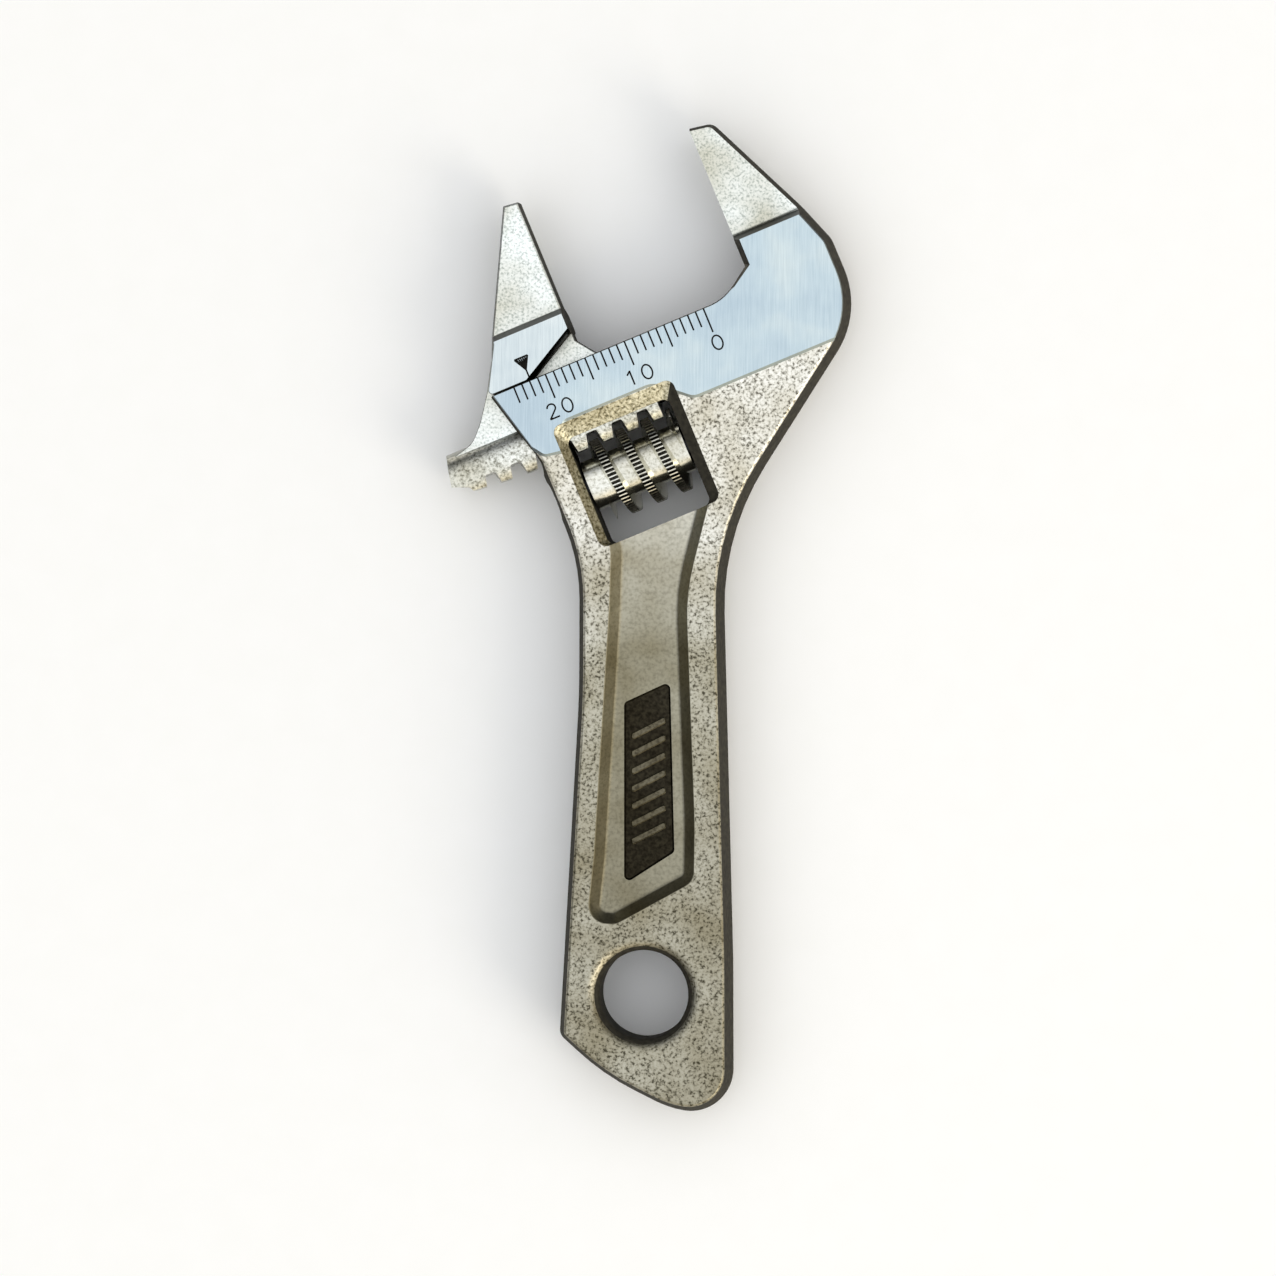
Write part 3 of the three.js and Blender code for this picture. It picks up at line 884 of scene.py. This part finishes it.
def finish_piece(piece, body_name, node_name):
    """Smooths the piece, takes it to the model's frame and hangs it on its body."""
    only(piece)
    bpy.ops.object.mode_set(mode="EDIT")
    bpy.ops.mesh.select_all(action="SELECT")
    bpy.ops.mesh.remove_doubles(threshold=0.0008)
    bpy.ops.mesh.dissolve_degenerate(threshold=0.0008)
    bpy.ops.object.mode_set(mode="OBJECT")
    piece.matrix_world = to_model @ piece.matrix_world
    bpy.ops.object.transform_apply()
    bpy.ops.object.shade_smooth_by_angle(angle=math.radians(32))
    weighted = piece.modifiers.new("weighted_normals", "WEIGHTED_NORMAL")
    weighted.keep_sharp = True
    bpy.ops.object.modifier_apply(modifier=weighted.name)
    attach(piece, body_name)
    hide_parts(node_name)


def painted_shade_faces(face):
    """Faces that get painted shade: upright walls, the hanging hole's rim, and the slope on the right of
    the window.
    """
    upright = abs(face.normal.z)
    in_rim = math.dist(face.center[:2], (hole_u, hole_v)) < 9
    past_window = WINDOW_RIGHT - 0.1 < face.center.x < WINDOW_RIGHT + 1.4
    beside_window = WINDOW_BOTTOM - 0.1 < face.center.y < WINDOW_TOP + 2
    right_slope = past_window and beside_window and face.normal.x < -0.3
    return upright < 0.3 or (in_rim and upright < 0.65) or (right_slope and upright < 0.95)


# the body's steep walls, the hole's rim and the window's right slope get painted shade
paint_wall_shade(body, painted_shade_faces)
finish_piece(body, "body", "body")

# ---- the movable jaw -----------------------------------------------------------
# A second forging: a thin nose like the fixed one, a shoulder as thick as the cheeks that
# slides on their top edges, a web that runs in the slot and a round slider with the rack.
FACE = -21.8  # as drawn, 21.8 mm from the fixed jaw's
SLIDER_RADIUS = 3.2
SLIDER_END = FACE + 6.2
SLIDER_TAIL = SLIDER_END - 26.1
WORM_PITCH = 3.2
WORM_RADIUS = 4.9
RACK_TIP = WORM_V + WORM_RADIUS - 0.7
RACK_ROOT = RACK_TIP + 1.6
FIRST_GAP = SLIDER_END - 2.4  # middle of the rack's first gap
THREAD_FLANK = math.tan(math.radians(12))
HALF_CREST = 0.5  # half the thread's width at its crest

jaw = shell(
    "sliding_jaw",
    [
        (FACE, 3.3, 0),
        (FACE, 19.9, 0),
        (FACE - 1.75, 20.1, 0),
        (FACE - 8.8, 6.5, 20),
        (FACE - 10.2, 3.3, 0),
    ],
    [(0, 2.5), (0.07, 0.15), (0.16, 0.1)],
    blasted_nose,
)
# the shoulder is ground like the plates, and buffed a little brighter
shoulder_steel = ground_steel("bright_ground_shoulder", "#e2e6e4", "#d6dedf", "#cbd5d8")
shoulder = shell(
    "shoulder",
    [
        (FACE, 3.4, 0),
        (FACE, 6.5, 0),
        (FACE - 8.8, 6.5, 0),
        (FACE - 8.65, 5.75, 1.6),
        (FACE - 11.8, 0.1, 0.5),
        (FACE - 6, 0.1, 0.6),
    ],
    [(0, half_head - 0.12), (0.1, 0.12)],
    shoulder_steel,
)
# the slope along the shoulder's diagonal lower edge, on both faces
diagonal = Vector((-6, -3.3, 0)).normalized()
outward = Vector((-diagonal.y, diagonal.x, 0))
if outward.y > 0:
    outward = -outward
for side in (1, -1):
    slope = (outward * 1.1 + Vector((0, 0, side * 0.6))).normalized()
    only(shoulder)
    bpy.ops.object.mode_set(mode="EDIT")
    bpy.ops.mesh.select_all(action="SELECT")
    bpy.ops.mesh.bisect(
        plane_co=Vector((FACE - 6, 0.1, side * half_head)) - outward * 0.5,
        plane_no=slope,
        clear_outer=True,
        use_fill=True,
    )
    bpy.ops.object.mode_set(mode="OBJECT")
cut(shoulder, nose_thinning())
web = shell(
    "web",
    [
        (FACE, 4, 0),
        (FACE, 2.4, 0),
        (FACE + 1.8, 0, 0),
        (FACE + 1.8, SLIDER_V, 0),
        (SLIDER_TAIL + 1.5, SLIDER_V, 0),
        (SLIDER_TAIL + 0.6, -5, 0),
        (FACE - 15.8, -4.1, 3),
        (FACE - 14, -2.2, 4),
        (FACE - 12, 0.6, 1),
        (FACE - 10, 4, 0),
    ],
    [(0, 1.75), (0.1, 0.15)],
    blasted_nose,
)
# broached and plated: bright, with coarse dark marks
slider_steel = nickel_plated(
    "nickel_on_broached_steel", "#f1f2ec", "#d3d4cc", "#8d8c82", "#b5b4aa", 0.35, 0.03, 0.3
)
slider = rod("slider", SLIDER_TAIL, SLIDER_END, SLIDER_RADIUS, SLIDER_V, slider_steel)
cut(
    slider,
    block(
        "rack_flat",
        [(-OUT, RACK_TIP, 0), (-OUT, -OUT, 0), (OUT, -OUT, 0), (OUT, RACK_TIP, 0)],
        -THROUGH,
        THROUGH,
        slider_steel,
    ),
    block(
        "tail",
        [
            (SLIDER_TAIL - 1, -2.4, 0),
            (SLIDER_TAIL - 1, -OUT, 0),
            (SLIDER_TAIL + 8, -OUT, 0),
            (SLIDER_TAIL + 8, RACK_TIP, 0),
            (SLIDER_TAIL + 2.2, RACK_TIP + 0.5, 0),
            (SLIDER_TAIL + 1.9, WORM_V + WORM_RADIUS + 0.33, 0),
            (SLIDER_TAIL, RACK_TIP + 1.8, 0),
            (SLIDER_TAIL + 0.6, -4.8, 0),
            (SLIDER_TAIL + 0.6, -2.4, 0),
        ],
        -THROUGH,
        THROUGH,
        slider_steel,
    ),
)


def thread_half_width(v):
    """Half the worm thread's width where it stands straight up at a height v."""
    return HALF_CREST + (WORM_V + WORM_RADIUS - v) * THREAD_FLANK


MESH_GAP = 0.33  # between thread and rack, each side
GAP_MOUTH = -11.6
wide = thread_half_width(GAP_MOUTH) + MESH_GAP
narrow = thread_half_width(RACK_ROOT) + MESH_GAP
lean = Matrix.Identity(4)
lean[0][2] = WORM_PITCH / (math.tau * WORM_RADIUS)
for k in range(-1, 7):
    middle = FIRST_GAP - k * WORM_PITCH
    gap = block(
        "rack_gap",
        [
            (-wide, GAP_MOUTH, 0),
            (wide, GAP_MOUTH, 0),
            (narrow, RACK_ROOT, 0.25),
            (-narrow, RACK_ROOT, 0.25),
        ],
        -THROUGH,
        THROUGH,
        slider_steel,
    )
    gap.data.transform(Matrix.Translation((middle, 0, 0)) @ lean)
    cut(slider, gap)
join(jaw, shoulder, web, slider)

# the pointer: a hatched triangle over a line
POINTER_U = -28.2
POINTER_TOP = 2.84
top_left = (-29.06, POINTER_TOP)
top_right = (-27.4, POINTER_TOP)
tip = (POINTER_U, 1.3)
pointer = [[top_left, top_right], [top_right, tip], [tip, top_left]]
pointer += [[(-28.85 + 0.28 * k, POINTER_TOP), (POINTER_U, 1.35)] for k in range(6)]
pointer += [[(POINTER_U, 1.4), (POINTER_U, 0.2)]]
engrave(jaw, pointer, STROKE, half_head)
# the jaw's steep walls above the slider get the dark painted shade
paint_wall_shade(jaw, lambda face: abs(face.normal.z) < 0.3 and face.center.y > -4)
finish_piece(jaw, "jaw", "movable_jaw")

# ---- the adjusting worm --------------------------------------------------------
# Turned from bar with one right-hand thread, straight-knurled over the crest so that a thumb
# can turn it, then bored for its pin and counterbored for the spring.
WORM_LEFT = -26.8
WORM_RIGHT = -14.5
CORE_RADIUS = 3.0
SPRING_POCKET = 2.25
# bright turned flats, and painted shade in the grooves between the ribs
turned_steel = nickel_plated(
    "nickel_on_turned_steel", "#efefe7", "#e3e2d9", "#c4c3b7", "#d8d6c8", 0.4, 0.004, 0.2
)
knurl_groove_shade = nickel_plated(
    "painted_shade_in_knurl_grooves", "#4a4740", "#38362f", "#24231e", "#2b2a25", 0.3, 0.004, 0.4
)

THREAD_FOOT = 2.7  # a little inside the core
half_foot = HALF_CREST + (WORM_RADIUS - THREAD_FOOT) * THREAD_FLANK
turns = 7
crest = FIRST_GAP - 4 * WORM_PITCH
thread = flat_face(
    "thread",
    [
        (crest - half_foot, THREAD_FOOT, 0),
        (crest + half_foot, THREAD_FOOT, 0),
        (crest + HALF_CREST, WORM_RADIUS, 0),
        (crest - HALF_CREST, WORM_RADIUS, 0),
    ],
)
only(thread)
bpy.ops.object.mode_set(mode="EDIT")
bpy.ops.mesh.select_all(action="SELECT")
bpy.ops.mesh.delete(type="ONLY_FACE")
bpy.ops.object.mode_set(mode="OBJECT")
screw = thread.modifiers.new("helix", "SCREW")
screw.axis = "X"
screw.angle = math.tau * turns
screw.screw_offset = WORM_PITCH * turns
screw.steps = 72 * turns
screw.render_steps = 72 * turns
bpy.ops.object.modifier_apply(modifier=screw.name)
bpy.ops.object.mode_set(mode="EDIT")
bpy.ops.mesh.select_all(action="DESELECT")
bpy.ops.mesh.select_mode(type="EDGE")
bpy.ops.mesh.select_non_manifold()
bpy.ops.mesh.edge_face_add()
bpy.ops.object.mode_set(mode="OBJECT")
thread.data.transform(Matrix.Translation((0, WORM_V, 0)))
thread.data.materials.append(turned_steel)
only(thread)
bpy.ops.object.mode_set(mode="EDIT")
bpy.ops.mesh.select_all(action="SELECT")
bpy.ops.mesh.normals_make_consistent(inside=False)
bpy.ops.object.mode_set(mode="OBJECT")

# sixty ribs round the crest, about half a millimetre apart, each four sides of a polygon wide
KNURL_SIDES = 240
KNURL_ROOT = 0.93  # the grooves' radius as a share of the ribs'
knurl = rod(
    "knurl",
    WORM_LEFT + 1.4,
    WORM_RIGHT - 0.3,
    WORM_RADIUS + 0.03,
    WORM_V,
    turned_steel,
    sides=KNURL_SIDES,
)
for vertex in knurl.data.vertices:
    angle = math.atan2(vertex.co.z, vertex.co.y - WORM_V)
    if round(angle * KNURL_SIDES / math.tau) % 4 in (0, 1):
        continue
    vertex.co.y = WORM_V + (vertex.co.y - WORM_V) * KNURL_ROOT
    vertex.co.z *= KNURL_ROOT
# the grooves' sides take the dark material: painted shade
knurl.data.materials.append(knurl_groove_shade)
for side in knurl.data.polygons:
    from_axis = math.hypot(side.center.y - WORM_V, side.center.z)
    if abs(side.normal.x) < 0.5 and from_axis < WORM_RADIUS * 0.99:
        side.material_index = 1
combine(thread, knurl, "INTERSECT")
worm = rod("worm", WORM_LEFT, WORM_RIGHT, CORE_RADIUS, WORM_V, turned_steel)
join(worm, thread)
cut(
    worm,
    rod("worm_bore", -OUT, OUT, PIN_BORE, WORM_V, turned_steel),
    rod("spring_pocket", WORM_RIGHT - 4.8, OUT, SPRING_POCKET, WORM_V, turned_steel),
)
finish_piece(worm, "worm", "adjusting_worm")

# ---- the worm's pin ------------------------------------------------------------
# A turned steel pin with a slotted head: it screws in from the left, carries the worm and
# ends in a blind hole on the window's right. Chemically blackened, then oiled: it shows a dark
# metal with faint mottling.
black_oxide = new_material("black_oxide_on_turned_steel")
oxide_place = node(black_oxide, "ShaderNodeTexCoord")
oxide_mottle = node(
    black_oxide, "ShaderNodeTexNoise", {"Vector": (oxide_place, "Object")}, Scale=1000 / 0.5, Detail=4.0
)
oxide_tone = node(
    black_oxide,
    "ShaderNodeValToRGB",
    {"Fac": (oxide_mottle, "Fac")},
    stops=[(0.3, "#2c2d30"), (0.7, "#54565a")],
)
oxide = node(
    black_oxide,
    "ShaderNodeBsdfPrincipled",
    {"Base Color": (oxide_tone, "Color")},
    Metallic=1.0,
    Roughness=0.36,
)
node(black_oxide, "ShaderNodeOutputMaterial", {"Surface": (oxide, "BSDF")})

PIN_LEFT = -31.05
PIN_TIP = -10.6
PIN_RADIUS = 1.45
PIN_HEAD_RADIUS = 2.2
PIN_HEAD_LENGTH = 3
DRIVER_HALF = 0.4  # half the width of the screwdriver slot
pin = rod("pin", PIN_LEFT, PIN_LEFT + PIN_HEAD_LENGTH, PIN_HEAD_RADIUS, WORM_V, black_oxide, sides=64)
join(pin, rod("shaft", PIN_LEFT + 1, PIN_TIP, PIN_RADIUS, WORM_V, black_oxide, sides=64))
bevel = pin.modifiers.new("turned_edges", "BEVEL")
bevel.width = 0.2
bevel.segments = 2
bevel.limit_method = "ANGLE"
bevel.angle_limit = math.radians(40)
only(pin)
bpy.ops.object.modifier_apply(modifier=bevel.name)
driver_slot = block(
    "driver_slot",
    [
        (PIN_LEFT - 1, WORM_V - DRIVER_HALF, 0),
        (PIN_LEFT + 1, WORM_V - DRIVER_HALF, 0),
        (PIN_LEFT + 1, WORM_V + DRIVER_HALF, 0),
        (PIN_LEFT - 1, WORM_V + DRIVER_HALF, 0),
    ],
    -THROUGH,
    THROUGH,
    black_oxide,
)
cut(pin, driver_slot)
finish_piece(pin, "body", "worm_pin")

# ---- the worm's spring ---------------------------------------------------------
# Round spring wire wound in four and a half open turns round the pin. It sits in the worm's
# counterbore and pushes the worm to the left, which takes up the play of the thread. Drawing
# leaves the wire bright, with fine marks.
wire_steel = new_material("drawn_spring_wire")
wire_place = node(wire_steel, "ShaderNodeTexCoord")
wire_marks = node(
    wire_steel, "ShaderNodeTexNoise", {"Vector": (wire_place, "Object")}, Scale=1000 / 0.2, Detail=3.0
)
wire_tone = node(
    wire_steel,
    "ShaderNodeValToRGB",
    {"Fac": (wire_marks, "Fac")},
    stops=[(0.3, "#8c8f92"), (0.7, "#c9ccce")],
)
wire = node(
    wire_steel,
    "ShaderNodeBsdfPrincipled",
    {"Base Color": (wire_tone, "Color")},
    Metallic=1.0,
    Roughness=0.25,
)
node(wire_steel, "ShaderNodeOutputMaterial", {"Surface": (wire, "BSDF")})

SPRING_LEFT = -18.95
SPRING_RIGHT = -14.55
SPRING_TURNS = 4.5
SPRING_RADIUS = 1.85  # to the middle of the wire
WIRE_RADIUS = 0.25
bpy.ops.mesh.primitive_circle_add(
    vertices=16, radius=WIRE_RADIUS, location=(SPRING_LEFT, SPRING_RADIUS, 0)
)
spring = bpy.context.object
spring.name = "spring"
only(spring)
bpy.ops.object.transform_apply()
coil = spring.modifiers.new("coil", "SCREW")
coil.axis = "X"
coil.angle = math.tau * SPRING_TURNS
coil.screw_offset = SPRING_RIGHT - SPRING_LEFT
coil.steps = int(40 * SPRING_TURNS)
coil.render_steps = coil.steps
bpy.ops.object.modifier_apply(modifier=coil.name)
bpy.ops.object.mode_set(mode="EDIT")
bpy.ops.mesh.select_all(action="DESELECT")
bpy.ops.mesh.select_mode(type="EDGE")
bpy.ops.mesh.select_non_manifold()
bpy.ops.mesh.edge_face_add()
bpy.ops.mesh.select_all(action="SELECT")
bpy.ops.mesh.normals_make_consistent(inside=False)
bpy.ops.object.mode_set(mode="OBJECT")
spring.data.transform(Matrix.Translation((0, WORM_V, 0)))
spring.data.materials.append(wire_steel)
finish_piece(spring, "body", "worm_spring")

# ---- the table it lies on, the light and the camera ----------------------------
# The wrench lies on white card under a white ceiling, in a room that is warm on one side and
# dim on the other, and is seen from almost straight above.
scene = bpy.context.scene
scene.view_settings.view_transform = "Standard"

only(spring)
bpy.ops.mesh.primitive_plane_add(size=6, location=(0, 0, -0.0002))
table = bpy.context.object
table.name = "table"
# matt white card, with a faint fibre
table_white = new_material("white_card")
table_place = node(table_white, "ShaderNodeTexCoord")
table_fibre = node(
    table_white, "ShaderNodeTexNoise", {"Vector": (table_place, "Object")}, Scale=1000 / 4.0
)
table_tone = node(
    table_white,
    "ShaderNodeValToRGB",
    {"Fac": (table_fibre, "Fac")},
    stops=[(0.0, "#f9f9f8"), (1.0, "#fcfcfc")],
)
card = node(
    table_white, "ShaderNodeBsdfPrincipled", {"Base Color": (table_tone, "Color")}, Roughness=0.9
)
node(table_white, "ShaderNodeOutputMaterial", {"Surface": (card, "BSDF")})
table.data.materials.append(table_white)

room = bpy.data.worlds.new("room")
room.use_nodes = True
room.node_tree.nodes.clear()
towards = node(room, "ShaderNodeTexCoord")
compass = node(room, "ShaderNodeSeparateXYZ", {"Vector": (towards, "Generated")})
across = node(room, "ShaderNodeMath", {0: (compass, "X"), 1: (compass, "Y")}, operation="SUBTRACT")
side = node(room, "ShaderNodeMapRange", {"Value": (across, 0)}, From_Min=-0.9, From_Max=1.1)
walls = node(
    room,
    "ShaderNodeValToRGB",
    {"Fac": (side, "Result")},
    stops=[(0.0, "#30343a"), (0.5, "#74726c"), (1.0, "#fbf0d8")],
)
height = node(room, "ShaderNodeMapRange", {"Value": (compass, "Z")}, From_Min=0.3, From_Max=0.85)
sky = node(
    room,
    "ShaderNodeMixRGB",
    {"Fac": (height, "Result"), "Color1": (walls, "Color")},
    Color2=linear("#fbfdff"),
)
glow = node(room, "ShaderNodeBackground", {"Color": (sky, "Color")}, Strength=1.22)
node(room, "ShaderNodeOutputWorld", {"Surface": (glow, "Background")})
scene.world = room

window_light = bpy.data.lights.new("window_light", "AREA")
window_light.shape = "SQUARE"
window_light.size = 0.7
window_light.energy = 6
window_light.color = linear("#fff6e6")[:3]
window_lamp = bpy.data.objects.new("window_light", window_light)
window_lamp.location = (1.1, -0.8, 0.8)
window_lamp.rotation_euler = (-window_lamp.location).to_track_quat("-Z", "Y").to_euler()
scene.collection.objects.link(window_lamp)

camera_data = bpy.data.cameras.new("camera")
camera = bpy.data.objects.new("camera", camera_data)
scene.collection.objects.link(camera)
scene.camera = camera
FRAME_WIDTH = 0.1498  # metres across the view, at the wrench
DISTANCE = 0.9
aim = Vector((-0.00123, -0.00235, half_head / 1000))
back = Vector((math.sin(math.radians(4)), math.sin(math.radians(1)), 1)).normalized()
right = Vector((0, 1, 0)).cross(back).normalized()
up = back.cross(right)
turn = Matrix((right, up, back)).transposed().to_4x4()
camera.matrix_world = Matrix.Translation(aim + back * DISTANCE) @ turn
camera_data.sensor_width = 36
camera_data.lens = camera_data.sensor_width * DISTANCE / FRAME_WIDTH
camera_data.clip_start = 0.01
